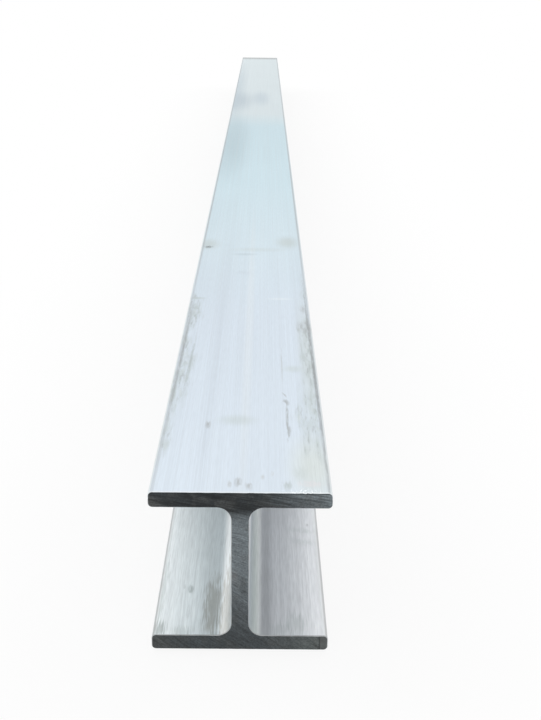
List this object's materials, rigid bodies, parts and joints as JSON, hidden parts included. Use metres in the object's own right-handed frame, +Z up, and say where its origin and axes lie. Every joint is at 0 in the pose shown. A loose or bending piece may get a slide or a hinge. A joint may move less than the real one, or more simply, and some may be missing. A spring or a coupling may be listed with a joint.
{
  "type": "aluminium h-beam",
  "caption": "Straight extruded H-section beam with equal flanges joined by a central web, rounded roots and square sawn ends, for framing and support.",
  "frame": {"origin": "centre of the bottom flange's resting face, half way along the beam", "axes": "+Y along the beam, +X across the flanges, +Z up through the web from the bottom flange to the top flange"},
  "size_m": [0.1, 2.7, 0.1],
  "materials": {
    "mill_finish_aluminium": "mill finish with fine die lines along the length, handling marks near the flange edges and dark sawn ends"
  },
  "bodies": {
    "root": {"h_beam": "mill_finish_aluminium"}
  },
  "joints": []
}
